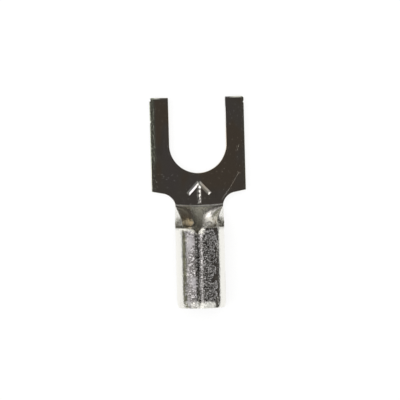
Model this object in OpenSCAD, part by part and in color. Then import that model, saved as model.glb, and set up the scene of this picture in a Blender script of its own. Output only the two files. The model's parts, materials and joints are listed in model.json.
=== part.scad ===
// Fork terminal for a screw stud, pressed from one strip of tinned copper:
// a flat forked tongue, a scooped neck and a barrel rolled up to a butted seam.
// The stud axis is Z, the underside of the tongue lies on z = 0 and the fork opens towards +Y.

/* [Strip] */
// Thickness of the strip
strip_t = 0.6; // [0.4:0.02:0.8]

/* [Tongue] */
// Width across the two tines
tongue_w = 7.35; // [6.6:0.05:9]
// Width of the stud slot
slot_w = 4.4; // [3.6:0.05:5]
// Reach of the tines past the stud axis
tine_reach = 3.7; // [2.4:0.1:6]
// Radius on the outer corners of the tine tips
tip_r = 0.2; // [0.05:0.05:0.5]
// Distance of the tongue's back corners behind the stud axis
corner_back = 3.6; // [3:0.05:5]
// Slope of the tongue's back edges, in degrees
back_slope = 11; // [2:1:20]

/* [Neck] */
// Width of the neck where it leaves the tongue
neck_w = 3.72; // [3.2:0.02:4.2]
// Radius between the tongue's back edges and the neck
neck_r = 1.1; // [0.6:0.05:1.4]
// Distance of the scoop's crease ahead of the narrowest place of the neck
crease_lead = 0.2; // [0:0.05:0.4]
// Length of the scoop between its crease and the barrel
scoop_len = 1.75; // [1.5:0.05:2.5]
// Inside radius of the bends at the two ends of the scoop
bend_r = 0.1; // [0.05:0.01:0.2]
// Angle by which the scoop's floor levels out between its bends, in degrees
ease_deg = 14; // [2:1:20]

/* [Barrel] */
// Diameter of the wire bore
bore_d = 2.6; // [2:0.05:3.2]
// Length of the closed barrel
barrel_len = 6.2; // [4:0.05:9]
// Height of the tongue's top face above the barrel axis
tongue_lift = -0.9; // [-0.95:0.05:-0.4]
// Gap left in the butted seam
seam_gap = 0.04; // [0.02:0.01:0.1]
// Radius of the lips along the seam
lip_r = 0.35; // [0.15:0.05:0.4]
// Radius of the strip's corners where the seam opens into the mouth
mouth_r = 0.65; // [0.3:0.05:0.9]
// Length of the bevel round the wire end
bevel_len = 0.55; // [0.2:0.05:1]
// Depth of the bevel round the wire end
bevel_depth = 0.1; // [0.02:0.01:0.2]
// Chamfer inside the wire end
entry_chamfer = 0.12; // [0.05:0.01:0.2]

/* [Hidden] */
$fn = 96;
tin = [0.76, 0.75, 0.72];

// Overshoot of the cutting shapes
over = 1;
// Hair by which the ends of the scoop are let into the tongue and the barrel
weld = 0.004;
// Length of those let-in ends
weld_len = 0.1;

bore_r = bore_d / 2;
mean_r = bore_r + strip_t / 2;
outer_r = bore_r + strip_t;

// Middle of the flat strip, and the barrel axis above the seat
tongue_mid = strip_t / 2;
axis_z = strip_t - tongue_lift;

// Centre of the round between a back edge and the neck
neck_cx = neck_w / 2 + neck_r;
neck_cy = -corner_back - (neck_r + (tongue_w / 2 - neck_cx) * sin(back_slope)) / cos(back_slope);

// Crease where the flat neck ends, and both ends of the barrel
crease_y = neck_cy + crease_lead;
crease_w = 2 * (neck_cx - sqrt(pow(neck_r, 2) - pow(crease_lead, 2)));
front_y = crease_y - scoop_len;
wire_y = front_y - barrel_len;

// Floor of the scoop: a bend down at the crease, a sweep that eases the slope, and a bend level with the barrel floor
rise = axis_z - tongue_mid;
drop = mean_r - rise;
bend_mid_r = bend_r + strip_t / 2;
turn_run = 2 * bend_mid_r - drop;
fall_deg = atan2(scoop_len, turn_run) - acos(2 * bend_mid_r * cos(ease_deg / 2) / norm([scoop_len, turn_run]));
crease_deg = fall_deg + ease_deg / 2;
floor_deg = fall_deg - ease_deg / 2;
sweep_run = scoop_len - bend_mid_r * (sin(crease_deg) + sin(floor_deg));
sweep_mid_r = sweep_run / (sin(crease_deg) - sin(floor_deg));
bend_steps = 3;
sweep_steps = 12;
cross_steps = 28;

// Each station is its distance behind the crease and its depth below the tongue
first_bend = [for (i = [0:bend_steps]) arc_at(bend_mid_r, crease_deg * i / bend_steps)];
last_bend = [for (i = [0:bend_steps]) [scoop_len, drop] - arc_at(bend_mid_r, floor_deg * (1 - i / bend_steps))];
sweep_top = last_bend[0] + arc_at(sweep_mid_r, floor_deg);
sweep = [for (i = [1:sweep_steps - 1]) sweep_top - arc_at(sweep_mid_r, mix(crease_deg, floor_deg, i / sweep_steps))];
stations = concat(first_bend, sweep, last_bend);
station_count = len(stations);

function mix(a, b, share) = a + (b - a) * share;
function arc_at(r, a) = r * [sin(a), 1 - cos(a)];

// Share of the turn from flat neck to half round, half the scoop's width and half the angle that its section wraps
function turned(s) = (1 - cos(180 * s[0] / scoop_len)) / 2;
function half_width(s) = mix(crease_w / 2, mean_r, turned(s));
function wrap(s) = 2 * atan(mean_r * turned(s) / half_width(s));

// Point on the middle of the strip, with v running from -1 to 1 across it
function mid_point(s, v) =
    let (a = wrap(s), r = a > 0 ? half_width(s) / sin(a) : 0)
    [a > 0 ? r * sin(v * a) : v * half_width(s), crease_y - s[0], tongue_mid - s[1] + r * (1 - cos(v * a))];

// Upward normal of the strip: square to the neighbouring points, or in the section's plane at both ends
function strip_normal(i, v) =
    i == 0 || i == station_count - 1
    ? let (a = v * wrap(stations[i])) [-sin(a), 0, cos(a)]
    : let (
        step = 1 / cross_steps,
        along = mid_point(stations[i + 1], v) - mid_point(stations[i - 1], v),
        across = mid_point(stations[i], v + step) - mid_point(stations[i], v - step),
        n = cross(along, across)
    ) n / norm(n);

// One section of the scoop as a closed loop: across the top face, then back across the underside
function section_loop(i, half_t, spread) = [
    for (side = [1, -1], j = [0:cross_steps])
        let (v = side * spread * (2 * j / cross_steps - 1))
        mid_point(stations[i], v) + side * half_t * strip_normal(i, v)
];

function shifted(loop, dy) = [for (p = loop) p + [0, dy, 0]];

// Flat tongue with its stud slot, cut to the neck
module tongue() {
    linear_extrude(strip_t) difference() {
        polygon([
            for (side = [1, -1], p = side > 0 ? tongue_edge() : reversed(tongue_edge())) [side * p[0], p[1]]
        ]);
        for (side = [-1, 1]) {
            translate([side * neck_cx, neck_cy]) circle(neck_r);
            translate([side * (tongue_w / 2 - tip_r), tine_reach - tip_r]) tip_corner(side);
        }
        circle(d = slot_w);
        translate([-slot_w / 2, 0]) square([slot_w, tine_reach + over]);
    }
}

// Right edge of the tongue from its tip to the crease
function tongue_edge() = [
    [tongue_w / 2, tine_reach],
    [tongue_w / 2, -corner_back],
    [neck_cx + neck_r * -sin(back_slope), neck_cy + neck_r * cos(back_slope)],
    [neck_cx, crease_y]
];
function reversed(list) = [for (i = [len(list) - 1:-1:0]) list[i]];

// Waste outside a rounded tip corner
module tip_corner(side) {
    difference() {
        translate([side > 0 ? 0 : -tip_r - over, 0]) square(tip_r + over);
        circle(tip_r);
    }
}

// Scoop that turns the flat neck into the lower half of the barrel
module scoop() {
    last = station_count - 1;
    inset_t = strip_t / 2 - weld;
    inset = 1 - weld / mean_r;
    first_loop = section_loop(0, inset_t, inset);
    last_loop = section_loop(last, inset_t, 1);
    loops = concat(
        [shifted(first_loop, weld_len), first_loop],
        [for (i = [1:last - 1]) section_loop(i, strip_t / 2, 1)],
        [last_loop, shifted(last_loop, -weld_len)]
    );
    loft(loops);
}

// Closed skin through a list of section loops, with strips of faces between the top and the underside at both ends
module loft(loops) {
    n = len(loops[0]);
    end = len(loops) - 1;
    polyhedron(
        points = [for (loop = loops, p = loop) p],
        faces = concat(
            [for (i = [0:end - 1], k = [0:n - 1]) [i * n + k, i * n + (k + 1) % n, (i + 1) * n + k]],
            [for (i = [1:end], k = [0:n - 1]) [i * n + k, (i - 1) * n + (k + 1) % n, i * n + (k + 1) % n]],
            [for (k = [0:cross_steps - 1]) [k, n - 1 - k, k + 1]],
            [for (k = [0:cross_steps - 1]) [k + 1, n - 1 - k, n - 2 - k]],
            [for (k = [0:cross_steps - 1]) [end * n + k, end * n + k + 1, end * n + n - 1 - k]],
            [for (k = [0:cross_steps - 1]) [end * n + k + 1, end * n + n - 2 - k, end * n + n - 1 - k]]
        )
    );
}

// Barrel rolled about an axis along Y, open at both ends, with the seam on top
module barrel() {
    difference() {
        translate([0, front_y, axis_z]) rotate([90, 0, 0]) difference() {
            linear_extrude(barrel_len) barrel_section();
            translate([0, 0, barrel_len - bevel_len]) difference() {
                cylinder(r = outer_r + over, h = bevel_len + over);
                cylinder(r1 = outer_r, r2 = outer_r - bevel_depth, h = bevel_len);
            }
            translate([0, 0, barrel_len - entry_chamfer])
                cylinder(r1 = bore_r, r2 = bore_r + entry_chamfer, h = entry_chamfer);
        }
        translate([0, front_y - mouth_r, axis_z]) linear_extrude(outer_r + over) mouth_notch();
    }
}

// Rolled strip seen from the end, with its two edges butted and their outer corners rounded
module barrel_section() {
    lip_x = seam_gap / 2 + lip_r;
    lip_y = sqrt(pow(outer_r - lip_r, 2) - pow(lip_x, 2));
    out = (outer_r + over) / (outer_r - lip_r);
    difference() {
        circle(outer_r);
        circle(bore_r);
        translate([-seam_gap / 2, 0]) square([seam_gap, outer_r + over]);
        difference() {
            polygon([[-lip_x, lip_y], [lip_x, lip_y], out * [lip_x, lip_y], out * [-lip_x, lip_y]]);
            for (side = [-1, 1]) translate([side * lip_x, lip_y]) circle(lip_r);
        }
    }
}

// Waste between the strip's two rounded corners at the mouth of the seam
module mouth_notch() {
    difference() {
        translate([-seam_gap / 2 - mouth_r, 0]) square([seam_gap + 2 * mouth_r, mouth_r + over]);
        for (side = [-1, 1]) translate([side * (seam_gap / 2 + mouth_r), 0]) circle(mouth_r);
    }
}

module fork_terminal() {
    color(tin) union() {
        tongue();
        scoop();
        barrel();
    }
}

fork_terminal();
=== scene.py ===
"""Fork terminal of tinned copper, lying on a white table and seen from straight above.

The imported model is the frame. The strip's thickness, slot, bore and outer reach are read from it, and the
terminal is modelled over it as one skin of flat tongue, pressed scoop and rolled barrel.
"""
import json
import logging
import math
from dataclasses import dataclass
from enum import Enum
from typing import Any, Callable, Union

import bmesh
import bpy
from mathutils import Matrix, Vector


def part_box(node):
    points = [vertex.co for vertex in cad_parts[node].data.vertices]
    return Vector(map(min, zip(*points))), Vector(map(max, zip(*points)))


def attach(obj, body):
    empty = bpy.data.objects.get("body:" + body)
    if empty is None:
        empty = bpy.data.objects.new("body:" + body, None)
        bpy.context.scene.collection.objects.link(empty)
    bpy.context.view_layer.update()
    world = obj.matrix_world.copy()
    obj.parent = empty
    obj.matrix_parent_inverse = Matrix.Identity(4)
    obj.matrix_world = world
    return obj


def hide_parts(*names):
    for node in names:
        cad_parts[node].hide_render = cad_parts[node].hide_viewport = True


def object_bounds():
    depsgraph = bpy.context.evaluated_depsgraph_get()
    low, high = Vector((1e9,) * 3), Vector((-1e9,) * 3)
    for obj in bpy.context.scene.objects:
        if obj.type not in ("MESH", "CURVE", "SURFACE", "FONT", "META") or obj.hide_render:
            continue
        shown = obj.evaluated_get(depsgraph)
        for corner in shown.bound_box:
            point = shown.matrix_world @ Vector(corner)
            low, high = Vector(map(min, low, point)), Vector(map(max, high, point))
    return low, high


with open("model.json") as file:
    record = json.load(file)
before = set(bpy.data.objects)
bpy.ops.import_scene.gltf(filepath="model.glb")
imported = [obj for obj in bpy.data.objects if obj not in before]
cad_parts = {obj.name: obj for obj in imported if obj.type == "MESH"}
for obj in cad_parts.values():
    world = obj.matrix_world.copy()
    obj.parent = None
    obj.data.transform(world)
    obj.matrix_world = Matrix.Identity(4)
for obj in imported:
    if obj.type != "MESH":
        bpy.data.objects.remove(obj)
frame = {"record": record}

CAD_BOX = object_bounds()
LOG = logging.getLogger("fork_terminal")
NODE = "fork_terminal"
MM = 0.001
HAIR = 0.001 * MM

ARROW_HALF = 1.15 * MM

Colour = tuple[float, float, float, float]
Span = tuple[float, float, float, float]


class Level(Enum):
    """Kind of mesh element that an edit session picks."""

    VERT = "verts"
    EDGE = "edges"
    FACE = "faces"


class Rounding(Enum):
    """How far an edge of the strip is rounded, as a share of the widest rounding."""

    MOUTH = 1.0
    SIDE = 0.45
    CUT = 0.3


def deselect_all() -> None:
    """Leave edit mode and clear the selection."""
    if bpy.context.mode != "OBJECT":
        bpy.ops.object.mode_set(mode="OBJECT")
    bpy.ops.object.select_all(action="DESELECT")


def activate(piece: bpy.types.Object) -> None:
    """Make one object the only selected one, and the active one.

    Args:
        piece: Object to work on.
    """
    deselect_all()
    piece.select_set(True)
    bpy.context.view_layer.objects.active = piece


def settle(piece: bpy.types.Object) -> bpy.types.Object:
    """Move an object's place into its mesh, and return it.

    Args:
        piece: Object to settle.

    Returns:
        The same object.
    """
    activate(piece)
    bpy.ops.object.transform_apply(location=True, rotation=True, scale=True)
    return piece


def apply_modifier(piece: bpy.types.Object, kind: str, **settings: Any) -> None:
    """Add a modifier and apply it at once.

    Args:
        piece: Object to work on.
        kind: Modifier type, such as "SOLIDIFY".
        **settings: Values for the modifier's own properties.
    """
    activate(piece)
    modifier = piece.modifiers.new(kind.lower(), kind)
    for name, value in settings.items():
        setattr(modifier, name, value)
    bpy.ops.object.modifier_apply(modifier=modifier.name)


def add_block(centre: Vector, size: Vector, turn: float = 0.0) -> bpy.types.Object:
    """Add a rectangular block.

    Args:
        centre: Middle of the block.
        size: Length along each of its own axes.
        turn: Rotation about Z, in radians.

    Returns:
        The block, with its place in its mesh.
    """
    deselect_all()
    bpy.ops.mesh.primitive_cube_add(size=1, location=centre, rotation=(0, 0, turn), scale=size)
    return settle(bpy.context.object)


def add_peg(centre: Vector, radius: float, depth: float) -> bpy.types.Object:
    """Add an upright round peg.

    Args:
        centre: Middle of the peg.
        radius: Its radius.
        depth: Its height.

    Returns:
        The peg, with its place in its mesh.
    """
    deselect_all()
    bpy.ops.mesh.primitive_cylinder_add(vertices=96, radius=radius, depth=depth, location=centre)
    return settle(bpy.context.object)


def cut_away(piece: bpy.types.Object, cutter: bpy.types.Object) -> None:
    """Take a cutter's volume out of a piece and throw the cutter away."""
    apply_modifier(piece, "BOOLEAN", operation="DIFFERENCE", solver="EXACT", object=cutter)
    bpy.data.objects.remove(cutter)


class EditSession:
    """Edit mode on one mesh, with elements picked by their place or normal."""

    def __init__(self, piece: bpy.types.Object) -> None:
        """Remember the object to edit."""
        self.piece = piece

    def __enter__(self) -> "EditSession":
        """Enter edit mode with nothing selected.

        Returns:
            The session.
        """
        activate(self.piece)
        bpy.ops.object.mode_set(mode="EDIT")
        bpy.ops.mesh.select_all(action="DESELECT")
        return self

    def __exit__(self, *problem: Any) -> None:
        """Go back to object mode."""
        bpy.ops.object.mode_set(mode="OBJECT")

    def pick(self, level: Level, test: Callable[[Any], bool]) -> None:
        """Select the elements that pass a test, and nothing else.

        Args:
            level: Kind of element to look at.
            test: Says whether an element is picked.
        """
        bpy.ops.mesh.select_all(action="DESELECT")
        bpy.ops.mesh.select_mode(type=level.name)
        mesh = bmesh.from_edit_mesh(self.piece.data)
        for item in [item for item in getattr(mesh, level.value) if test(item)]:
            item.select_set(True)
        mesh.select_flush_mode()
        bmesh.update_edit_mesh(self.piece.data)


def lies_at(item: Any, axis: int, value: float) -> bool:
    """Say whether all corners of an edge or face lie at one value along an axis."""
    return all(abs(corner.co[axis] - value) < HAIR for corner in item.verts)


@dataclass(frozen=True)
class Strip:
    """Sizes of the pressed and rolled strip that its three portions share, in metres and radians."""

    thickness: float
    tongue_w: float
    slot_r: float
    tine_reach: float
    wire_y: float
    bore_r: float
    axis_z: float
    tip_r: float = 0.2 * MM
    corner_back: float = 3.6 * MM
    back_slope: float = math.radians(11)
    neck_w: float = 3.72 * MM
    neck_r: float = 1.1 * MM
    crease_lead: float = 0.2 * MM
    scoop_len: float = 1.75 * MM
    bend_r: float = 0.1 * MM
    ease: float = math.radians(14)
    columns: int = 160

    @classmethod
    def from_frame(cls) -> "Strip":
        """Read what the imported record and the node's box state.

        Returns:
            The strip.
        """
        low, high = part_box(NODE)
        mounts = {mount["name"]: mount for mount in frame["record"]["mounts"]}
        slot = mounts["stud_slot"]["dims"]
        wire = mounts["wire_barrel"]
        return cls(
            thickness=slot["length_mm"] * MM,
            tongue_w=high.x - low.x,
            slot_r=slot["r_mm"] * MM,
            tine_reach=high.y,
            wire_y=low.y,
            bore_r=wire["dims"]["r_mm"] * MM,
            axis_z=wire["pos_m"][2],
        )

    @property
    def outer_r(self) -> float:
        """Outer radius of the barrel."""
        return self.bore_r + self.thickness

    @property
    def mean_r(self) -> float:
        """Radius of the middle of the barrel's wall."""
        return self.bore_r + self.thickness / 2

    @property
    def neck_centre(self) -> Vector:
        """Centre of the right round between a back edge and the neck."""
        x = self.neck_w / 2 + self.neck_r
        run = self.neck_r + (self.tongue_w / 2 - x) * math.sin(self.back_slope)
        return Vector((x, -self.corner_back - run / math.cos(self.back_slope), self.thickness / 2))

    @property
    def crease_y(self) -> float:
        """Where the flat neck ends and the scoop begins."""
        return self.neck_centre.y + self.crease_lead

    @property
    def crease_half(self) -> float:
        """Half the neck's width at the crease."""
        return self.neck_centre.x - math.sqrt(self.neck_r ** 2 - self.crease_lead ** 2)

    @property
    def front_y(self) -> float:
        """Front end of the barrel."""
        return self.crease_y - self.scoop_len


@dataclass(frozen=True)
class Nick:
    """Notch that a knock has left in an outer edge of the tongue, in metres and radians."""

    tip: tuple[float, float]
    size: float
    turn: float = math.radians(45)

    def cutter(self, strip: Strip) -> bpy.types.Object:
        """Make the block whose inner corner leaves the notch.

        Args:
            strip: Strip that is notched.

        Returns:
            The block, turned so that a corner points at the middle of the tongue.
        """
        side = math.copysign(1, self.tip[0])
        way = self.turn + math.pi / 4
        away = Vector((side * math.sin(way), -math.cos(way), 0)) * (self.size / math.sqrt(2))
        centre = Vector((*self.tip, strip.thickness / 2)) + away
        return add_block(centre, Vector((self.size, self.size, 3 * strip.thickness)), side * self.turn)


@dataclass
class Tongue:
    """Flat forked tongue with its stud slot, worn edges and stamped arrow."""

    strip: Strip
    tip_segments: int = 8
    tip_wear: float = 0.11 * MM
    tip_slope: float = math.radians(22)
    nicks: tuple[Nick, ...] = (
        Nick((-3.59 * MM, 1.82 * MM), 0.25 * MM),
        Nick((3.60 * MM, 3.24 * MM), 0.25 * MM),
        Nick((-3.55 * MM, 3.46 * MM), 0.7 * MM, math.radians(72)),
    )
    arrow_apex: float = 2.93 * MM
    arrow_wing: float = 1.25 * MM
    arrow_spread: float = math.radians(43)
    arrow_gap: float = 0.2 * MM
    arrow_shaft: float = 1.46 * MM
    arrow_w: float = 0.3 * MM
    arrow_depth: float = 0.075 * MM

    def build(self) -> bpy.types.Object:
        """Blank the tongue out of flat strip and stamp it.

        Returns:
            The tongue as a closed plate, open only where the scoop joins it.
        """
        strip = self.strip
        length = strip.tine_reach - strip.crease_y
        plate = add_block(
            Vector((0, strip.crease_y + length / 2, strip.thickness / 2)),
            Vector((strip.tongue_w, length, strip.thickness)),
        )
        plate.name = "tongue"
        with EditSession(plate) as edit:
            edit.pick(
                Level.EDGE,
                lambda e: lies_at(e, 1, strip.tine_reach) and e.verts[0].co.x == e.verts[1].co.x,
            )
            bpy.ops.mesh.bevel(offset=strip.tip_r, segments=self.tip_segments, affect="EDGES")
        self._cut_slot(plate)
        for side in (-1, 1):
            self._cut_neck(plate, side)
        self._wear_tips(plate)
        for nick in self.nicks:
            cut_away(plate, nick.cutter(strip))
        self._stamp_arrow(plate)
        self._open_end(plate)
        return plate

    def _cut_slot(self, plate: bpy.types.Object) -> None:
        """Cut the stud slot: a round floor with straight sides up to the tips.

        Args:
            plate: Tongue so far.
        """
        strip = self.strip
        depth = 3 * strip.thickness
        reach = strip.tine_reach + 1 * MM
        mid = strip.thickness / 2
        cut_away(plate, add_peg(Vector((0, 0, mid)), strip.slot_r, depth))
        cut_away(plate, add_block(Vector((0, reach / 2, mid)), Vector((2 * strip.slot_r, reach, depth))))

    def _cut_neck(self, plate: bpy.types.Object, side: int) -> None:
        """Cut the waste beside the neck on one side.

        Args:
            plate: Tongue so far.
            side: -1 for the left and 1 for the right.
        """
        strip = self.strip
        depth = 3 * strip.thickness
        centre = strip.neck_centre
        slope = strip.back_slope
        size = Vector((3 * MM, 3 * MM, depth))
        along = Vector((math.cos(slope), math.sin(slope), 0))
        down = Vector((math.sin(slope), -math.cos(slope), 0))
        block = centre - down * strip.neck_r + along * size.x / 2 + down * size.y / 2
        mirror = Vector((side, 1, 1))
        cut_away(plate, add_peg(centre * mirror, strip.neck_r, depth))
        cut_away(plate, add_block(block * mirror, size, side * slope))

    def _wear_tips(self, plate: bpy.types.Object) -> None:
        """Wear a narrow slope along the top of both tine ends.

        Args:
            plate: Tongue so far.
        """
        strip = self.strip
        start = Vector((0, strip.tine_reach - self.tip_wear, strip.thickness))
        deselect_all()
        bpy.ops.mesh.primitive_cube_add(size=1, scale=(2 * strip.tongue_w, 2 * MM, 2 * MM))
        block = bpy.context.object
        block.rotation_euler.x = -self.tip_slope
        out = Vector((0, math.sin(self.tip_slope), math.cos(self.tip_slope)))
        block.location = start + out * MM
        cut_away(plate, settle(block))

    def _stamp_arrow(self, plate: bpy.types.Object) -> None:
        """Stamp the plain arrow that points towards the tips.

        Args:
            plate: Tongue so far.
        """
        apex = Vector((0, -self.arrow_apex, self.strip.thickness))
        shaft = apex - Vector((0, self.arrow_gap + self.arrow_shaft / 2, 0))
        cut_away(plate, self._punch(shaft, self.arrow_shaft, 0))
        for side in (-1, 1):
            turn = side * self.arrow_spread
            along = Vector((math.sin(turn), -math.cos(turn), 0))
            cut_away(plate, self._punch(apex + along * self.arrow_wing / 2, self.arrow_wing, turn))

    def _punch(self, centre: Vector, length: float, turn: float) -> bpy.types.Object:
        """Make a chisel-shaped punch for one stroke of the arrow.

        Args:
            centre: Middle of the stroke, on the top face.
            length: Length of the stroke.
            turn: Rotation about Z, in radians.

        Returns:
            The punch, with walls and ends that slope down to its edge.
        """
        punch = add_block(Vector((0, 0, 0)), Vector((self.arrow_w, length, 2 * self.arrow_depth)))
        with EditSession(punch) as edit:
            edit.pick(Level.FACE, lambda f: f.normal.z < -0.5)
            bpy.ops.transform.resize(
                value=(0.02, 1 - self.arrow_w / length, 1),
                center_override=(0, 0, -self.arrow_depth),
            )
            edit.pick(Level.FACE, lambda f: f.normal.z > 0.5)
            bpy.ops.transform.resize(
                value=(2, 1 + self.arrow_w / length, 1),
                center_override=(0, 0, self.arrow_depth),
            )
        punch.rotation_euler.z = turn
        punch.location = centre
        return settle(punch)

    def _open_end(self, plate: bpy.types.Object) -> None:
        """Open the end of the neck and give it the scoop's columns.

        Args:
            plate: Tongue so far.
        """
        strip = self.strip
        with EditSession(plate) as edit:
            edit.pick(Level.FACE, lambda f: lies_at(f, 1, strip.crease_y))
            bpy.ops.mesh.delete(type="FACE")
            edit.pick(
                Level.EDGE,
                lambda e: lies_at(e, 1, strip.crease_y) and e.calc_length() > strip.neck_w / 2,
            )
            bpy.ops.mesh.subdivide(number_cuts=strip.columns // 2 - 1)


@dataclass
class Scoop:
    """Pressed scoop that turns the flat neck into the lower half of the barrel."""

    strip: Strip
    rows: int = 44

    @property
    def rise(self) -> float:
        """Height of the barrel's axis above the middle of the flat strip."""
        return self.strip.axis_z - self.strip.thickness / 2

    @property
    def drop(self) -> float:
        """Depth of the barrel's floor below the flat strip."""
        return self.strip.mean_r - self.rise

    @property
    def bend_mid_r(self) -> float:
        """Radius of the bends at the two ends, at the middle of the strip."""
        return self.strip.bend_r + self.strip.thickness / 2

    @property
    def slopes(self) -> tuple[float, float]:
        """Slope of the floor behind the crease, and ahead of the barrel."""
        turn_run = 2 * self.bend_mid_r - self.drop
        reach = math.hypot(self.strip.scoop_len, turn_run)
        half = self.strip.ease / 2
        fall = math.atan2(self.strip.scoop_len, turn_run)
        fall -= math.acos(2 * self.bend_mid_r * math.cos(half) / reach)
        return fall + half, fall - half

    @property
    def sweep_mid_r(self) -> float:
        """Radius of the sweep that eases the slope between the bends, at the middle of the strip."""
        crease, floor = (math.sin(slope) for slope in self.slopes)
        return (self.strip.scoop_len - self.bend_mid_r * (crease + floor)) / (crease - floor)

    def station(self, share: float) -> tuple[float, float]:
        """Find a place along the scoop's floor.

        Args:
            share: 0 at the flat neck and 1 at the barrel, by length along the strip.

        Returns:
            Distance behind the neck and depth below the tongue.
        """
        crease, floor = self.slopes
        bend = self.bend_mid_r
        sweep = self.sweep_mid_r
        lengths = (bend * crease, sweep * (crease - floor), bend * floor)
        walked = share * sum(lengths)
        if walked < lengths[0]:
            turn = walked / bend
            return bend * math.sin(turn), bend * (1 - math.cos(turn))
        to_go = (1 - share) * sum(lengths)
        end = Vector((self.strip.scoop_len, self.drop))
        if to_go < lengths[2]:
            turn = to_go / bend
            return end.x - bend * math.sin(turn), end.y - bend * (1 - math.cos(turn))
        turn = floor + (to_go - lengths[2]) / sweep
        end -= (bend - sweep) * Vector((math.sin(floor), 1 - math.cos(floor)))
        return end.x - sweep * math.sin(turn), end.y - sweep * (1 - math.cos(turn))

    def mid_point(self, share: float, across: float) -> Vector:
        """Find a point on the middle of the strip.

        Args:
            share: Place along the floor, as station takes it.
            across: -1 at the left edge of the strip and 1 at the right.

        Returns:
            The point.
        """
        strip = self.strip
        distance, depth = self.station(share)
        turned = (1 - math.cos(math.pi * distance / strip.scoop_len)) / 2
        width = strip.crease_half + (strip.mean_r - strip.crease_half) * turned
        wrap = 2 * math.atan(strip.mean_r * turned / width)
        y = strip.crease_y - distance
        z = strip.thickness / 2 - depth
        if wrap < 1e-9:
            return Vector((across * width, y, z))
        radius = width / math.sin(wrap)
        return Vector((radius * math.sin(across * wrap), y, z + radius * (1 - math.cos(across * wrap))))

    def build(self) -> bpy.types.Object:
        """Press a flat grid into the scoop and give it the strip's thickness.

        Returns:
            The scoop, open at both ends.
        """
        strip = self.strip
        deselect_all()
        bpy.ops.mesh.primitive_grid_add(x_subdivisions=strip.columns // 2, y_subdivisions=self.rows, size=1)
        sheet = bpy.context.object
        sheet.name = "scoop"
        ends = {name: sheet.vertex_groups.new(name=name) for name in ("neck_end", "barrel_end")}
        for vertex in sheet.data.vertices:
            share = 0.5 - vertex.co.y
            if share < HAIR:
                ends["neck_end"].add([vertex.index], 1, "REPLACE")
            if share > 1 - HAIR:
                ends["barrel_end"].add([vertex.index], 1, "REPLACE")
            vertex.co = self.mid_point(share, 2 * vertex.co.x)
        apply_modifier(sheet, "SOLIDIFY", thickness=strip.thickness, offset=0, use_even_offset=True)
        self._square_ends(sheet)
        with EditSession(sheet) as edit:
            edit.pick(Level.FACE, lambda f: lies_at(f, 1, strip.crease_y) or lies_at(f, 1, strip.front_y))
            bpy.ops.mesh.delete(type="FACE")
        return sheet

    def _square_ends(self, sheet: bpy.types.Object) -> None:
        """Lay both ends exactly on the sections of the tongue and the barrel.

        Args:
            sheet: Scoop with its ends in two vertex groups.
        """
        strip = self.strip
        step = 2 * math.pi / strip.columns
        for vertex in sheet.data.vertices:
            for group in vertex.groups:
                if sheet.vertex_groups[group.group].name == "neck_end":
                    top = vertex.co.z > strip.thickness / 2
                    vertex.co = (vertex.co.x, strip.crease_y, strip.thickness if top else 0)
                else:
                    high = vertex.co.z - strip.axis_z
                    angle = round(math.atan2(vertex.co.x, high) / step) * step
                    outer = math.hypot(vertex.co.x, high) > strip.mean_r
                    radius = strip.outer_r if outer else strip.bore_r
                    vertex.co = (
                        radius * math.sin(angle),
                        strip.front_y,
                        strip.axis_z + radius * math.cos(angle),
                    )
        sheet.vertex_groups.clear()


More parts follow.
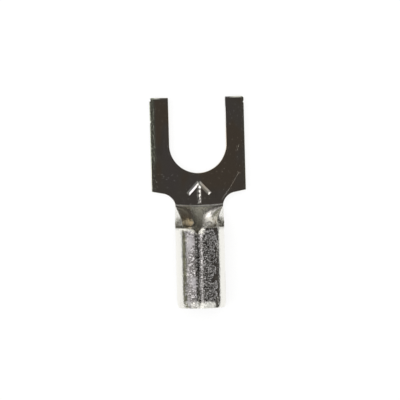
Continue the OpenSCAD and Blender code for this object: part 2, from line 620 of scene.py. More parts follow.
@dataclass
class Barrel:
    """Wire barrel, rolled up to a butted seam along its top."""

    strip: Strip
    seam_gap: float = 0.04 * MM
    seam_columns: int = -3
    left_lip_r: float = 0.14 * MM
    right_lip_r: float = 0.4 * MM
    lip_slope: float = math.radians(30)
    mouth_r: float = 0.65 * MM
    mouth_slant: float = 0.14 * MM
    mouth_fade: float = 1.1 * MM
    bevel_len: float = 0.55 * MM
    bevel_depth: float = 0.1 * MM
    entry_chamfer: float = 0.12 * MM
    crowded: float = math.radians(31.5)

    @property
    def length(self) -> float:
        """Length of the closed barrel."""
        return self.strip.front_y - self.strip.wire_y

    @property
    def row_steps(self) -> list[float]:
        """Distances between rows of points, from the mouth to the wire end."""
        near = [0.2, 0.35, 0.5, 0.65, 0.85, 1.1, 1.8, 2.6, 3.4, 4.2, 5.0]
        last = [self.bevel_len, 0.4 * MM, 0.25 * MM, self.entry_chamfer, 0]
        rows = [0, *(row * MM for row in near), *(self.length - row for row in last)]
        return [after - before for before, after in zip(rows, rows[1:])]

    def build(self) -> bpy.types.Object:
        """Roll the barrel from an open ring.

        Returns:
            The barrel, open where the scoop joins it.
        """
        strip = self.strip
        deselect_all()
        bpy.ops.mesh.primitive_circle_add(
            vertices=strip.columns,
            radius=strip.mean_r,
            location=(0, strip.front_y, strip.axis_z),
            rotation=(math.pi / 2, 0, 0),
        )
        tube = settle(bpy.context.object)
        tube.name = "barrel"
        with EditSession(tube) as edit:
            edit.pick(Level.VERT, lambda v: v.co.z > strip.axis_z + strip.mean_r - HAIR / 10)
            bpy.ops.mesh.delete(type="VERT")
            bpy.ops.mesh.select_all(action="SELECT")
            for step in self.row_steps:
                bpy.ops.mesh.extrude_region_move(TRANSFORM_OT_translate={"value": (0, -step, 0)})
        apply_modifier(tube, "SOLIDIFY", thickness=strip.thickness, offset=0, use_even_offset=True)
        for vertex in tube.data.vertices:
            vertex.co = self._rolled(vertex.co)
        with EditSession(tube) as edit:
            edit.pick(
                Level.FACE,
                lambda f: lies_at(f, 1, strip.front_y) and f.calc_center_median().z < strip.axis_z,
            )
            bpy.ops.mesh.delete(type="FACE")
        return tube

    def _rolled(self, place: Vector) -> Vector:
        """Lay a point of the plain tube on the rolled strip.

        Args:
            place: Point of the tube's inner or outer skin.

        Returns:
            The point with the seam, its lips, the mouth's corners and the wire end formed.
        """
        strip = self.strip
        high = place.z - strip.axis_z
        outer = math.hypot(place.x, high) > strip.mean_r
        step = 2 * math.pi / strip.columns
        angle = abs(round(math.atan2(place.x, high) / step) * step)
        side = math.copysign(1, place.x)
        at_seam = angle < 1.5 * step
        seam = math.asin(self.seam_gap / 2 / strip.mean_r)
        if angle < self.crowded:
            angle = seam + (self.crowded - seam) * ((angle - step) / (self.crowded - step)) ** 1.7
        end = place.y - strip.wire_y
        radius = strip.outer_r if outer else strip.bore_r
        if outer:
            radius -= self.bevel_depth * max(0, 1 - end / self.bevel_len) ** 1.6
        else:
            radius += max(0, self.entry_chamfer - end)
        x = self.seam_gap / 2 if at_seam else radius * math.sin(angle)
        z = radius * math.cos(angle)
        if outer:
            z = min(z, self._lip(x, self.left_lip_r if side < 0 else self.right_lip_r))
        fade = max(0, 1 - (strip.front_y - place.y) / self.mouth_fade)
        shift = self.seam_columns * step
        slant = self.mouth_slant * max(0, 1 - (angle - shift) / (math.pi / 2)) if side < 0 else 0
        y = place.y - (self._mouth(strip.mean_r * (angle - seam)) + slant) * fade
        return Vector((
            side * x * math.cos(shift) + z * math.sin(shift),
            y,
            strip.axis_z + z * math.cos(shift) - side * x * math.sin(shift),
        ))

    def _lip(self, x: float, radius: float) -> float:
        """Find the height of a lip beside the seam.

        Args:
            x: Distance from the middle of the seam.
            radius: Radius of the lip's crest.

        Returns:
            The height above the barrel's axis.
        """
        strip = self.strip
        centre_x = self.seam_gap / 2 + radius
        centre_z = math.sqrt((strip.outer_r - radius) ** 2 - centre_x ** 2)
        if x > centre_x * strip.outer_r / (strip.outer_r - radius):
            return strip.outer_r
        slope_x = centre_x - radius * math.sin(self.lip_slope)
        if x < slope_x:
            return centre_z + radius * math.cos(self.lip_slope) - (slope_x - x) * math.tan(self.lip_slope)
        return centre_z + math.sqrt(max(0, radius ** 2 - (x - centre_x) ** 2))

    def _mouth(self, reach: float) -> float:
        """Set-back of the mouth's rounded corner at a distance from the seam.

        Args:
            reach: Distance from the seam, along the strip.

        Returns:
            The set-back.
        """
        if reach > self.mouth_r:
            return 0
        return self.mouth_r - math.sqrt(self.mouth_r ** 2 - (self.mouth_r - max(0, reach)) ** 2)


Value = Union["Wire", float]


class Wire:
    """Output socket that answers to Python's operators by adding Math nodes."""

    def __init__(self, board: "NodeBoard", socket: bpy.types.NodeSocket) -> None:
        """Wrap a socket of the board's node tree."""
        self.board = board
        self.socket = socket

    def _math(self, operation: str, *values: Value) -> "Wire":
        """Add one Math node with these inputs in order."""
        return self.board.add("ShaderNodeMath", {"operation": operation}, dict(enumerate(values)))

    def __add__(self, other: Value) -> "Wire":
        """Add."""
        return self._math("ADD", self, other)

    __radd__ = __add__

    def __sub__(self, other: Value) -> "Wire":
        """Subtract."""
        return self._math("SUBTRACT", self, other)

    def __rsub__(self, other: Value) -> "Wire":
        """Subtract from a number."""
        return self._math("SUBTRACT", other, self)

    def __mul__(self, other: Value) -> "Wire":
        """Multiply."""
        return self._math("MULTIPLY", self, other)

    __rmul__ = __mul__

    def __pow__(self, other: Value) -> "Wire":
        """Raise to a power."""
        return self._math("POWER", self, other)

    def __abs__(self) -> "Wire":
        """Take the size without its sign."""
        return self._math("ABSOLUTE", self)

    def clamped(self) -> "Wire":
        """Keep the value from 0 to 1."""
        return self.board.add("ShaderNodeClamp", inputs={0: self})

    def hypot(self, other: "Wire") -> "Wire":
        """Length of a way that has this value and the other as its parts."""
        return (self * self + other * other) ** 0.5

    def angle_from(self, other: "Wire") -> "Wire":
        """Angle whose tangent is this value over the other."""
        return self._math("ARCTAN2", self, other)

    def between(self, low: float, high: float) -> "Wire":
        """Climb smoothly from 0 at low to 1 at high."""
        return self.board.add(
            "ShaderNodeMapRange",
            {"interpolation_type": "SMOOTHSTEP"},
            {"Value": self, "From Min": low, "From Max": high},
        )

    def until(self, low: float, high: float) -> "Wire":
        """Fall smoothly from 1 at low to 0 at high."""
        return 1 - self.between(low, high)

    def within(self, span: Span) -> "Wire":
        """Climb over a span's first two numbers and fall over its last two."""
        return self.between(*span[:2]) * self.until(*span[2:])


class NodeBoard:
    """Node tree of one material or world, emptied and ready to wire."""

    def __init__(self, owner: Union[bpy.types.Material, bpy.types.World]) -> None:
        """Turn on the owner's nodes and clear them.

        Args:
            owner: Material or world to wire.
        """
        owner.use_nodes = True
        self.tree = owner.node_tree
        self.tree.nodes.clear()

    def add(
        self,
        kind: str,
        settings: dict[str, Any] | None = None,
        inputs: dict[str | int, Any] | None = None,
        output: str | int = 0,
    ) -> Wire:
        """Add one node.

        Args:
            kind: Node type.
            settings: Node properties, which are set first.
            inputs: Values or wires by the name or number of the socket.
            output: Name or number of the socket to give back.

        Returns:
            The chosen output.
        """
        node = self.tree.nodes.new(kind)
        for name, value in (settings or {}).items():
            setattr(node, name, value)
        for name, value in (inputs or {}).items():
            if isinstance(value, Wire):
                self.tree.links.new(value.socket, node.inputs[name])
            else:
                node.inputs[name].default_value = value
        return Wire(self, node.outputs[output]) if len(node.outputs) else None

    def mix(self, share: Value, first: Any, second: Any) -> Wire:
        """Mix two colours."""
        return self.add("ShaderNodeMix", {"data_type": "RGBA"}, {0: share, 6: first, 7: second}, 2)

    def axes(self, vector: Wire) -> tuple[Wire, Wire, Wire]:
        """Split a vector into its three parts."""
        node = vector.board.add("ShaderNodeSeparateXYZ", inputs={0: vector}).socket.node
        return tuple(Wire(self, socket) for socket in node.outputs)

    def noise(self, place: Wire, size: float, stretch: Vector = Vector((1, 1, 1)), **inputs: float) -> Wire:
        """Add a cloud noise.

        Args:
            place: Coordinates in metres.
            size: Width of one cloud, in metres.
            stretch: How many times longer the clouds are along each axis.
            **inputs: Other values of the noise node, such as Detail.

        Returns:
            Values about 0.5.
        """
        scale = Vector((1 / (size * part) for part in stretch))
        mapped = self.add("ShaderNodeMapping", inputs={"Vector": place, "Scale": scale})
        return self.add("ShaderNodeTexNoise", inputs={"Vector": mapped, "Scale": 1.0, **inputs})


class Skin:
    """Where things are on the terminal's skin: masks from 0 to 1, and the noises that break them up."""

    def __init__(self, board: NodeBoard, strip: Strip, tongue: Tongue, crinkle: float) -> None:
        """Find the strip's portions and their marks.

        Args:
            board: Node tree to add to.
            strip: Strip that tells the tongue from the barrel.
            tongue: Tongue that carries the stamped arrow.
            crinkle: Width of one crinkle, in metres.
        """
        self.strip = strip
        place = board.add("ShaderNodeTexCoord", output="Object")
        self.x, self.y, self.z = board.axes(place)
        self.left = 0 - self.x
        self.up = self.z - strip.axis_z
        self._make_noises(board, place, crinkle)
        self.rolled = (strip.front_y + 0.1 * MM - self.y).between(0, 0.4 * MM)
        self.pressed = (strip.crease_y - self.y).between(-0.05 * MM, 0.1 * MM) * (1 - self.rolled)
        self.flat = (1 - self.rolled) * (1 - self.pressed)
        self._find_tongue(tongue)
        self._find_scoop()
        self._find_barrel()

    def _make_noises(self, board: NodeBoard, place: Wire, crinkle: float) -> None:
        """Add the noises, from coarse to fine.

        Args:
            board: Node tree to add to.
            place: Coordinates in metres.
            crinkle: Width of one crinkle, in metres.
        """
        self.tarnish = board.noise(place, 1.6 * MM, Vector((1, 2, 1)), Detail=1.5)
        self.cloud = board.noise(place, 1.1 * MM, Vector((1, 2.5, 1)), Detail=2.0)
        self.patchy = board.noise(place, 0.7 * MM, Vector((1, 2, 1)), Detail=1.0).between(0.35, 0.6)
        self.ragged = board.noise(place, 0.4 * MM, Vector((1, 1.5, 1)), Detail=2.5) - 0.5
        self.lump = board.noise(place, 0.17 * MM, Detail=1.0)
        self.crumple = board.noise(
            place, crinkle, Vector((1.7, 1, 1.7)), Detail=1.5, Roughness=0.5, Distortion=0.8
        )
        self.flecks = board.noise(place, 0.13 * MM, Detail=0.5)
        self.dust = board.noise(place, 0.13 * MM, Detail=0.0)
        self.grain = board.noise(place, 0.08 * MM, Detail=1.0)
        self.drawn = board.noise(place, 0.08 * MM, Vector((1, 30, 1)), Detail=2.0)

    def _find_tongue(self, tongue: Tongue) -> None:
        """Find the tongue's worn edges, tines, crease and stamped arrow.

        Args:
            tongue: Tongue that carries the arrow.
        """
        strip = self.strip
        side = strip.tongue_w / 2
        left_edge = self.left.between(side - 0.5 * MM, side - 0.3 * MM)
        right_edge = self.x.between(side - 0.3 * MM, side - 0.15 * MM)
        along = 0.5 + 0.5 * (self.y + 2 * MM).between(0, 1 * MM)
        self.edge = self.flat * (left_edge * along + right_edge * 0.35)
        tips = (self.y - strip.tine_reach + 0.3 * MM).between(0, 0.15 * MM)
        self.tines = self.flat * (self.y + 3.9 * MM).between(0, 0.8 * MM) * (1 - self.edge) * (1 - tips)
        self.top = self.flat * self.z.between(strip.thickness - 0.1 * MM, strip.thickness - 0.05 * MM)
        sag = strip.crease_y - 0.1 * MM + self.x * self.x * (0.03 / MM)
        self.crease_line = abs(self.y - sag).until(0.02 * MM, 0.08 * MM) * self.z.between(0.3 * MM, 0.4 * MM)
        tail = -tongue.arrow_apex - tongue.arrow_gap - tongue.arrow_shaft
        sunk = (strip.thickness - self.z).between(0, 0.01 * MM) * self.z.between(0.3 * MM, 0.35 * MM)
        inside = (ARROW_HALF - abs(self.x)).between(0, 0.05 * MM) * (self.y - tail).between(-0.05 * MM, 0)
        self.stamped = sunk * inside * (0.2 * MM - tongue.arrow_apex - self.y).between(0, 0.05 * MM)
        neck = (strip.crease_y + 1.3 * MM - self.y).between(0, 0.1 * MM)
        self.shaft = self.stamped * abs(self.x).until(0.15 * MM, 0.2 * MM) * neck

    def _find_scoop(self) -> None:
        """Find the scoop's cut rim and the painted shade on it, the painted shade on its left wall, and its
        hollow.
        """
        strip = self.strip
        spread = abs(self.x) - (self.y - strip.front_y) * 0.33
        self.rim = self.pressed * spread.between(strip.bore_r, strip.bore_r + 0.15 * MM)
        # Dark mottled tint on the cut rim near the mouth: painted shade.
        self.rim_shade = self.rim * (strip.front_y + 0.85 * MM - self.y).between(0, 0.3 * MM)
        # Tan tint on the scoop's left wall, stronger towards the barrel: painted shade.
        inner = spread.until(strip.bore_r - 0.35 * MM, strip.bore_r - 0.1 * MM)
        low = 0.3 + 0.4 * (strip.crease_y - 0.6 * MM - self.y).between(0, 0.5 * MM)
        self.tan_wall_shade = self.pressed * inner * self.left.between(0.45 * MM, 0.85 * MM) * low
        self.hollow = self.pressed * (0 - self.up).between(0, 0.1 * MM) * self.z.between(0.2 * MM, 0.3 * MM)

    def _find_barrel(self) -> None:
        """Find the barrel's crinkled top, the painted shade on it and in its pit marks, its glint flecks, the
        painted highlight along its mouth, and its wire end.
        """
        strip = self.strip
        ragged_up = self.up + self.ragged * (0.9 * MM)
        self.wire_end = (strip.wire_y + 0.6 * MM - self.y + self.ragged * (0.7 * MM)).between(0, 0.2 * MM)
        self.wire_top = self.wire_end * ragged_up.between(0.8 * MM, 1.2 * MM)
        self.wire_top = self.wire_top * self.x.until(1.0 * MM, 1.15 * MM)
        self.upper = ragged_up.between(1.48 * MM, 1.66 * MM)
        set_back = (0.2 * MM) * self.x.until(-0.1 * MM, 0.2 * MM)
        behind = (strip.front_y - self.y - set_back).between(0, 0.15 * MM)
        # Darker tone over the crinkled top, set by height so that the sides keep the plain colour: painted
        # shade.
        self.top_shade = ragged_up.between(1.34 * MM, 1.5 * MM) * behind * (1 - self.wire_end)
        self.left_half = self.x.until(-0.45 * MM, -0.25 * MM)
        self.smooth = self.upper * (1 - self.patchy) * self.left_half
        near_mouth = (self.y - strip.front_y + 1 * MM).between(0, 0.5 * MM)
        lip = self.x.within((-0.12 * MM, -0.04 * MM, 0.12 * MM, 0.2 * MM))
        right_half = self.x.between(-0.3 * MM, 0.1 * MM)
        clustered = (self.patchy + near_mouth + right_half).clamped() * (1 - lip * 0.8)
        cracked = (self.crumple - self.left_half * 0.04).until(0.36, 0.48) * clustered
        # Dark pit marks in the crinkles, denser on the right half and near the mouth: painted shade.
        self.pit_shade = self.upper * behind * cracked * (1 - self.wire_end)
        self.glint = self.upper * behind * self.flecks.between(0.545, 0.625) * (1 - self.left_half * 0.7)
        # A bright line just behind the mouth's left edge: painted highlight.
        mouth_y = abs(self.x) * 0.055 - self.y + (strip.front_y - 0.17 * MM)
        mouth_highlight = abs(mouth_y).until(0.06 * MM, 0.15 * MM) * self.left.between(0.1 * MM, 0.3 * MM)
        self.mouth_highlight = mouth_highlight * self.up.between(0.9 * MM, 1.1 * MM) * self.grain.between(0.36, 0.5)


@dataclass(frozen=True)
class Scratch:
    """Hairline scratch on the tongue, or fold on the barrel, in metres."""

    start: tuple[float, float]
    end: tuple[float, float]
    width: float = 0.025 * MM

    def mask(self, x: Wire, y: Wire) -> Wire:
        """Find the scratch: 1 on its line and 0 away from it.

        Args:
            x: Place across the terminal.
            y: Place along it.

        Returns:
            The mask.
        """
        run = Vector(self.end) - Vector(self.start)
        from_x = x - self.start[0]
        from_y = y - self.start[1]
        share = (from_x * (run.x / run.length_squared) + from_y * (run.y / run.length_squared)).clamped()
        off_x = from_x - share * run.x
        off_y = from_y - share * run.y
        return off_x.hypot(off_y).until(0.3 * self.width, self.width)


@dataclass(frozen=True)
class Spot:
    """Round spot on the skin, full up to one radius and gone at another, in metres."""

    centre: tuple[float, float]
    full: float
    gone: float
    waver: float = 0.0

    def mask(self, x: Wire, y: Wire, ragged: Value = 0.0) -> Wire:
        """Find the spot: 1 in its middle and 0 away from it.

        Args:
            x: Place across the terminal.
            y: Place along it.
            ragged: Noise about 0 that makes the outline waver.

        Returns:
            The mask.
        """
        away = (x - self.centre[0]).hypot(y - self.centre[1])
        return (away + ragged * self.waver).until(self.full, self.gone)


@dataclass(frozen=True)
class TinPlate:
    """Bright tin plate: smooth on the flat tongue and finely crinkled on the rolled barrel."""

    colour: Colour = (0.85, 0.84, 0.79, 1)
    dull_colour: Colour = (0.66, 0.64, 0.59, 1)
    brown_tint: Colour = (0.87, 0.76, 0.61, 1)
    violet_tint: Colour = (0.83, 0.81, 0.83, 1)
    # Tan tint: painted shade on the scoop's left wall, and a painted tan reflection low in the scoop.
    tan_shade_and_reflection_tint: Colour = (0.84, 0.68, 0.43, 1)
    worn_tint: Colour = (0.62, 0.66, 0.55, 1)
    # Darker tone for the barrel's crinkled top: painted shade.
    top_shade_tint: Colour = (0.54, 0.525, 0.52, 1)
    # Darker tone for the smooth patches of the barrel's left half: painted shade.
    satin_shade_tint: Colour = (0.47, 0.46, 0.475, 1)
    # Near black for the pit marks in the barrel's crinkles and for the lumps in the arrow's shaft: painted
    # shade.
    pit_shade_tint: Colour = (0.10, 0.09, 0.085, 1)
    # Cream white for the painted highlights.
    highlight_tint: Colour = (0.97, 0.95, 0.86, 1)
    # Dark olive for the scoop's cut rim: painted shade.
    rim_shade_tint: Colour = (0.34, 0.33, 0.27, 1)
    tongue_roughness: float = 0.13
    scoop_roughness: float = 0.26
    barrel_roughness: float = 0.14
    frosted_roughness: float = 0.6
    frosted_metal: float = 0.2
    crinkle: float = 0.13 * MM
    crinkle_depth: float = 0.03 * MM
    drawn_depth: float = 0.0012 * MM
    crease_depth: float = 0.012 * MM
    edge_depth: float = 0.025 * MM
    shaft_depth: float = 0.06 * MM
    scratches: tuple[Scratch, ...] = (
        Scratch((3.16 * MM, -2.23 * MM), (2.35 * MM, -3.54 * MM)),
        Scratch((2.35 * MM, -3.54 * MM), (1.78 * MM, -4.31 * MM), 0.03 * MM),
        Scratch((3.22 * MM, -0.07 * MM), (3.05 * MM, -0.53 * MM)),
        Scratch((-3.27 * MM, -2.81 * MM), (-3.24 * MM, -2.84 * MM), 0.06 * MM),
        Scratch((-2.71 * MM, -2.40 * MM), (-2.69 * MM, -2.42 * MM), 0.05 * MM),
    )
    folds: tuple[Scratch, ...] = (
        Scratch((1.30 * MM, -7.48 * MM), (1.25 * MM, -8.65 * MM), 0.07 * MM),
        Scratch((1.17 * MM, -11.44 * MM), (1.29 * MM, -12.30 * MM), 0.07 * MM),
    )
    # Painted highlights on the burrs beside the seam, just behind the mouth.
    burr_highlights: tuple[Spot, ...] = (
        Spot((0.09 * MM, -6.63 * MM), 0.2 * MM, 0.42 * MM),
        Spot((-0.57 * MM, -6.67 * MM), 0.1 * MM, 0.26 * MM),
    )
    # Painted tan reflection on the left of the scoop's hollow.
    tan_reflection_spot: Spot = Spot((-0.68 * MM, -6.0 * MM), 0, 0.32 * MM, 0.8 * MM)
    # Painted highlight on the right of the scoop's hollow.
    scoop_highlight: Spot = Spot((0.86 * MM, -5.97 * MM), 0.175 * MM, 0.455 * MM)

    def material(self, strip: Strip, tongue: Tongue) -> bpy.types.Material:
        """Wire the finish.

        Args:
            strip: Strip that tells the tongue from the barrel.
            tongue: Tongue that carries the stamped arrow.

        Returns:
            The material.
        """
        tin = bpy.data.materials.new("bright_tin_plate")
        board = NodeBoard(tin)
        skin = Skin(board, strip, tongue, self.crinkle)
        # Painted tan reflection in the scoop's hollow. It is also made matt so that the lamp lights it.
        tan_reflection = skin.hollow * self.tan_reflection_spot.mask(skin.x, skin.y, skin.ragged)
        tan_reflection = tan_reflection * (0.3 + 0.7 * skin.lump.between(0.4, 0.6))
        # Painted highlights, cream white and matt.
        painted_highlight = self._painted_highlights(skin)
        frosted = (self._frosted(skin) + tan_reflection * tan_reflection + painted_highlight * 0.9).clamped()
        bump = board.add(
            "ShaderNodeBump", inputs={"Strength": 1.0, "Distance": 1.0, "Height": self._height(skin)}
        )
        shader = board.add(
            "ShaderNodeBsdfPrincipled",
            inputs={
                "Base Color": self._tint(board, skin, tan_reflection, painted_highlight),
                "Metallic": 1 - frosted * (1 - self.frosted_metal),
                "Roughness": self._roughness(skin, frosted),
                "Normal": bump,
            },
        )
        board.add("ShaderNodeOutputMaterial", inputs={"Surface": shader})
        return tin

    def _height(self, skin: Skin) -> Wire:
        """Raise the crinkles, the drawing lines, the worn edges and the lumps in the arrow's shaft.

        Args:
            skin: Masks of the terminal.

        Returns:
            The height, in metres.
        """
        crinkled = skin.rolled * (1 - skin.wire_end * 0.5) * (skin.upper * 0.87 + 0.13)
        crinkled = crinkled * (1 - skin.smooth * 0.75) + skin.rim * 0.6 + skin.pressed * 0.11
        return (
            crinkled * skin.crumple.between(0.38, 0.62) * self.crinkle_depth
            + skin.flat * skin.drawn * self.drawn_depth
            - (skin.strip.crease_y - skin.y).between(0, 0.12 * MM) * self.crease_depth
            + skin.edge * (skin.grain - 0.5) * self.edge_depth
            + skin.shaft * (skin.lump - 0.5) * self.shaft_depth
        )

    def _painted_highlights(self, skin: Skin) -> Wire:
        """Find the painted highlights: on the burrs beside the seam, along the mouth and in the scoop.

        Args:
            skin: Masks of the terminal.

        Returns:
            The mask.
        """
        burr_highlights = sum((knot.mask(skin.x, skin.y) for knot in self.burr_highlights), 0.0)
        burr_highlights = burr_highlights * skin.up.between(1 * MM, 1.1 * MM) * skin.grain.between(0.4, 0.5)
        spot = skin.hollow * self.scoop_highlight.mask(skin.x, skin.y) * skin.lump.between(0.36, 0.56)
        return (burr_highlights + skin.mouth_highlight + spot).clamped()

    def _frosted(self, skin: Skin) -> Wire:
        """Find the matt marks, which scatter light.

        Args:
            skin: Masks of the terminal.

        Returns:
            How matt each place is.
        """
        grain = skin.grain
        scratched = sum((scratch.mask(skin.x, skin.y) for scratch in self.scratches), 0.0).clamped()
        scratched = scratched * skin.top
        folded = sum((fold.mask(skin.x, skin.y) for fold in self.folds), 0.0) * skin.up.between(0, 0.1 * MM)
        return (
            skin.stamped * 0.13
            + scratched * (0.35 + 0.65 * grain.between(0.42, 0.56)) * 0.22
            + skin.flat * skin.dust.between(0.77, 0.81) * 0.06
            + skin.glint * 0.55
            + folded * grain.between(0.4, 0.56) * 0.4
            + skin.wire_top * (0.56 - 0.38 * skin.left_half + 0.3 * (skin.lump.between(0.4, 0.6) - 0.5))
            + skin.crease_line * skin.cloud * 0.26
            + skin.edge * grain.between(0.48, 0.6) * 0.07
        )

    def _roughness(self, skin: Skin, frosted: Wire) -> Wire:
        """Blend the roughness of the strip's portions and marks.

        Args:
            skin: Masks of the terminal.
            frosted: How matt each place is.

        Returns:
            The roughness.
        """
        base = self.tongue_roughness
        return (
            base
            + skin.rolled * (self.barrel_roughness - base)
            + skin.pressed * (self.scoop_roughness - base)
            + frosted * (self.frosted_roughness - base)
            + (skin.cloud - 0.5) * 0.1
            + skin.smooth * 0.2
        )

    def _tint(self, board: NodeBoard, skin: Skin, tan_reflection: Wire, painted_highlight: Wire) -> Wire:
        """Lay the tints over the plate's colour, with painted shade and highlights among them.

        Args:
            board: Node tree to add to.
            skin: Masks of the terminal.
            tan_reflection: Mask of the painted tan reflection in the scoop.
            painted_highlight: Mask of the painted highlights.

        Returns:
            The colour.
        """
        layers = (
            (skin.cloud.between(0.55, 0.75) * 0.6, self.dull_colour),
            (skin.tines * skin.tarnish.between(0.48, 0.62) * 0.8, self.brown_tint),
            (skin.flat * skin.tarnish.until(0.36, 0.5) * 0.8, self.violet_tint),
            # Painted shade on the cut rim.
            (skin.rim_shade * skin.grain.between(0.4, 0.55), self.rim_shade_tint),
            (skin.edge, self.worn_tint),
            # The layers from here on are painted light: shade on the scoop's left wall with the tan
            # reflection, shade on the barrel's top, its satin patches, its pit marks and the arrow's shaft,
            # and last the highlights.
            ((skin.tan_wall_shade + tan_reflection).clamped(), self.tan_shade_and_reflection_tint),
            (skin.top_shade, self.top_shade_tint),
            (skin.smooth * 0.8, self.satin_shade_tint),
            (skin.pit_shade * 0.85, self.pit_shade_tint),
            (skin.shaft * skin.lump.between(0.4, 0.56) * 0.9, self.pit_shade_tint),
            (painted_highlight, self.highlight_tint),
        )
        tint: Any = self.colour
        for share, colour in layers:
            tint = board.mix(share, tint, colour)
        return tint


@dataclass
class ForkTerminal:
    """The whole terminal as one skin."""

    strip: Strip
    finish: TinPlate
    rounding: float = 0.12 * MM
    sharp: float = math.radians(35)
    torn_corner: tuple[float, float] = (-3.3 * MM, 3.2 * MM)
    mouth_zone: float = 0.8 * MM
    mouth_right: float = 0.1 * MM
    seam_rise: float = 1 * MM

    def build(self) -> bpy.types.Object:
        """Join the three portions, round their edges and hand the piece to the frame.

        Returns:
            The finished piece.
        """
        tongue = Tongue(self.strip)
        parts = [tongue.build(), Scoop(self.strip).build(), Barrel(self.strip).build()]
        piece = self._join(parts)
        self._round_edges(piece)
        self._shade(piece)
        piece.data.materials.clear()
        piece.data.materials.append(self.finish.material(self.strip, tongue))
        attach(piece, "root")
        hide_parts(NODE)
        return piece

    @staticmethod
    def _join(parts: list[bpy.types.Object]) -> bpy.types.Object:
        """Join the portions where their open ends meet.

        Args:
            parts: Tongue, scoop and barrel.

        Returns:
            The joined piece.
        """
        activate(parts[0])
        for part in parts[1:]:
            part.select_set(True)
        bpy.ops.object.join()
        piece = parts[0]
        piece.name = piece.data.name = "tinned_fork_terminal"
        with EditSession(piece):
            bpy.ops.mesh.select_all(action="SELECT")
            bpy.ops.mesh.remove_doubles(threshold=2 * HAIR)
            bpy.ops.mesh.normals_make_consistent(inside=False)
        return piece

    def _round_edges(self, piece: bpy.types.Object) -> None:
        """Round the strip's sharp edges, each by its own weight.

        Args:
            piece: Joined terminal.
        """
        with EditSession(piece) as edit:
            for rounding in Rounding:
                edit.pick(Level.EDGE, lambda e: self._rounding_of(e) is rounding)
                bpy.ops.transform.edge_bevelweight(value=rounding.value)
        apply_modifier(
            piece,
            "BEVEL",
            width=self.rounding,
            segments=4,
            limit_method="WEIGHT",
            use_clamp_overlap=False,
            miter_outer="MITER_ARC",
        )
        with EditSession(piece) as edit:
            bpy.ops.mesh.select_all(action="SELECT")
            bpy.ops.mesh.dissolve_degenerate(threshold=HAIR)
            edit.pick(Level.FACE, lambda f: len(f.verts) > 4)
            bpy.ops.mesh.quads_convert_to_tris(ngon_method="BEAUTY")

    def _rounding_of(self, edge: Any) -> Rounding | None:
        """Tell how an edge is rounded.

        Args:
            edge: Edge of the joined terminal.

        Returns:
            The rounding, or None where the edge stays sharp or the skin runs on smoothly.
        """
        strip = self.strip
        if len(edge.link_faces) != 2 or edge.calc_face_angle() < self.sharp:
            return None
        middle = (edge.verts[0].co + edge.verts[1].co) / 2
        if middle.y > strip.crease_y:
            torn = middle.x < self.torn_corner[0] and middle.y > self.torn_corner[1]
            if torn or self._on_arrow(middle):
                return None
            beside = abs(middle.x) > strip.tongue_w / 2 - strip.tip_r
            ahead = middle.y > strip.tine_reach - strip.tip_r
            return Rounding.SIDE if beside or ahead else Rounding.CUT
        run = (edge.verts[1].co - edge.verts[0].co).normalized()
        along_seam = abs(run.y) > 0.9 and middle.z > strip.axis_z + self.seam_rise
        if along_seam:
            return None
        mouth = abs(middle.y - strip.front_y) < self.mouth_zone and middle.z > strip.axis_z + HAIR
        return Rounding.MOUTH if mouth and middle.x < self.mouth_right else Rounding.CUT

    def _on_arrow(self, place: Vector) -> bool:
        """Say whether a point lies in the field of the stamped arrow.

        Args:
            place: Point on the tongue.

        Returns:
            True in the arrow's field.
        """
        strip = self.strip
        inside = abs(place.x) < ARROW_HALF and place.y < -strip.slot_r - 0.3 * MM
        return inside and strip.thickness / 2 < place.z

    def _shade(self, piece: bpy.types.Object) -> None:
        """Shade the skin smoothly, apart from the flat faces of the tongue and its arrow.

        Args:
            piece: Joined terminal.
        """
        strip = self.strip
        activate(piece)
        bpy.ops.object.shade_smooth_by_angle(angle=self.sharp)
        with EditSession(piece) as edit:
            edit.pick(
                Level.FACE,
                lambda f: f.calc_center_median().y > strip.crease_y
                and (max(abs(part) for part in f.normal) > 0.9999 or self._on_arrow(f.calc_center_median())),
            )
            bpy.ops.mesh.faces_shade_flat()


@dataclass(frozen=True)
class Table:
    """White table top under the terminal, which keeps a faint shadow."""

    height: float
    reach: float = 0.6
    card_left: float = 0.036
    card_right: float = 0.022
    card_fade: float = 0.004
    shine: float = 0.8
    colour: Colour = (0.9, 0.9, 0.9, 1)
    far_colour: Colour = (0.05, 0.05, 0.05, 1)

    def build(self) -> bpy.types.Object:
        """Lay the table top.

        Returns:
            The table top, as stage.
        """
        deselect_all()
        bpy.ops.mesh.primitive_plane_add(size=self.reach, location=(0, 0, self.height))
        top = settle(bpy.context.object)
        top.name = "table_top"
        top.data.materials.append(self._material())
        return top

    def _material(self) -> bpy.types.Material:
        """Wire white paint that reads as the background to the camera and to the metal.

        Returns:
            The material.
        """
        white = bpy.data.materials.new("white_table")
        board = NodeBoard(white)
        path = board.add("ShaderNodeLightPath").socket.node
        x, _, _ = board.axes(board.add("ShaderNodeTexCoord", output="Object"))
        near = (x + self.card_left).between(0, self.card_fade)
        near = near * (self.card_right - x).between(0, self.card_fade)
        camera, glossy, through = (
            Wire(board, path.outputs[f"Is {kind} Ray"]) for kind in ("Camera", "Glossy", "Transmission")
        )
        mirrored = glossy + through
        seen = camera + mirrored * near
        colour = board.mix(mirrored * (1 - near), self.colour, self.far_colour)
        paint = board.add("ShaderNodeBsdfDiffuse", inputs={"Color": colour})
        glow = board.add("ShaderNodeEmission", inputs={"Color": (1, 1, 1, 1), "Strength": 1.0})
        skin = board.add("ShaderNodeMixShader", inputs={0: seen * self.shine, 1: paint, 2: glow})
        board.add("ShaderNodeOutputMaterial", inputs={"Surface": skin})
        return white


@dataclass(frozen=True)
class Panel:
    """Panel of the room, which fades in and out to the left, in degrees, and to the front."""

    colour: Colour
    left: Span = (-400, -399, 399, 400)
    front: Span = (-3, -2, 2, 3)

    def mask(self, left: Wire, front: Wire) -> Wire:
        """Find the panel: 1 on it and 0 beside it."""
        return left.within(self.left) * front.within(self.front)


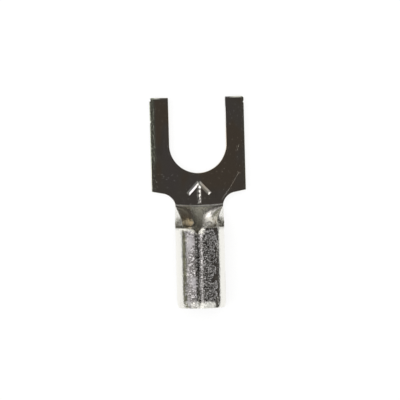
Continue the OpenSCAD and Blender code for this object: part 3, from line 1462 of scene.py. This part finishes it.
@dataclass(frozen=True)
class Studio:
    """Dark room with one soft light on the left, and even light from above for the table."""

    overhead: Colour = (0.050, 0.044, 0.040, 1)
    right_wall: Panel = Panel((0.072, 0.066, 0.058, 1), left=(-400, -399, -50, -15))
    back_wall: Panel = Panel(
        (0.13, 0.125, 0.11, 1), left=(-55, -40, -16, -8), front=(-0.75, -0.62, -0.2, -0.02)
    )
    front_wall: Panel = Panel((0.100, 0.108, 0.098, 1), front=(0.25, 0.72, 2, 3))
    left_wall: Panel = Panel((0.28, 0.27, 0.26, 1), left=(18, 26, 399, 400))
    left_low: Panel = Panel((0.20, 0.20, 0.14, 1), left=(67, 75, 399, 400))
    soft_box: Panel = Panel((1.75, 1.70, 1.70, 1), left=(21, 27, 61, 71), front=(-0.22, -0.14, 0.28, 0.38))
    back_light: Panel = Panel((0.75, 0.75, 0.70, 1), left=(-14, -4, 8, 18), front=(-0.96, -0.9, -0.52, -0.42))
    high_light: Panel = Panel((1.75, 1.70, 1.70, 1), left=(35, 39, 47, 52), front=(-0.65, -0.6, -0.48, -0.43))
    front_light: Panel = Panel((0.85, 0.85, 0.80, 1), front=(0.78, 0.86, 0.93, 0.98))
    fill_power: float = 3.7
    fill_size: float = 0.6
    fill_height: float = 0.5

    @property
    def panels(self) -> tuple[Panel, ...]:
        """Panels in the order in which each covers the ones before it."""
        walls = (self.right_wall, self.back_wall, self.front_wall, self.left_wall, self.left_low)
        return (*walls, self.soft_box, self.back_light, self.high_light, self.front_light)

    def build(self) -> None:
        """Paint the room and hang the light over the table."""
        world = bpy.data.worlds.new("studio")
        bpy.context.scene.world = world
        board = NodeBoard(world)
        x, y, z = board.axes(board.add("ShaderNodeTexCoord", output="Generated"))
        left = (0 - x).angle_from(z) * (180 / math.pi)
        front = 0 - y
        room: Any = self.overhead
        for panel in self.panels:
            room = board.mix(panel.mask(left, front), room, panel.colour)
        path = board.add("ShaderNodeLightPath", output="Is Camera Ray")
        room = board.mix(path, room, (1, 1, 1, 1))
        shader = board.add("ShaderNodeBackground", inputs={"Color": room, "Strength": 1.0})
        board.add("ShaderNodeOutputWorld", inputs={"Surface": shader})
        deselect_all()
        bpy.ops.object.light_add(type="AREA", location=(0, 0, self.fill_height))
        lamp = bpy.context.object
        lamp.name = "overhead_light"
        lamp.data.size = self.fill_size
        lamp.data.energy = self.fill_power
        lamp.visible_glossy = False


@dataclass(frozen=True)
class PhotoCamera:
    """Camera straight above the terminal."""

    aim: Vector = Vector((0.075 * MM, -4.32 * MM, 0.6 * MM))
    height: float = 150 * MM
    view_w: float = 31.08 * MM
    roll: float = math.radians(-1.5)

    def build(self) -> bpy.types.Object:
        """Hang the camera and make it the scene's own.

        Returns:
            The camera.
        """
        deselect_all()
        bpy.ops.object.camera_add(location=self.aim + Vector((0, 0, self.height)), rotation=(0, 0, self.roll))
        camera = bpy.context.object
        camera.data.lens = camera.data.sensor_width * self.height / self.view_w
        camera.data.clip_start = 1 * MM
        bpy.context.scene.camera = camera
        return camera


def main() -> None:
    """Build the terminal, the table, the light and the camera."""
    logging.basicConfig(level=logging.INFO, format="%(name)s: %(message)s")
    bpy.context.scene.view_settings.view_transform = "Standard"
    piece = ForkTerminal(Strip.from_frame(), TinPlate()).build()
    LOG.info("%s has %d faces", piece.name, len(piece.data.polygons))
    table = Table(CAD_BOX[0].z).build()
    LOG.info("%s lies at %.2f mm", table.name, CAD_BOX[0].z / MM)
    Studio().build()
    camera = PhotoCamera().build()
    LOG.info("camera has a %.0f mm lens", camera.data.lens)


if __name__ == "__main__":
    main()
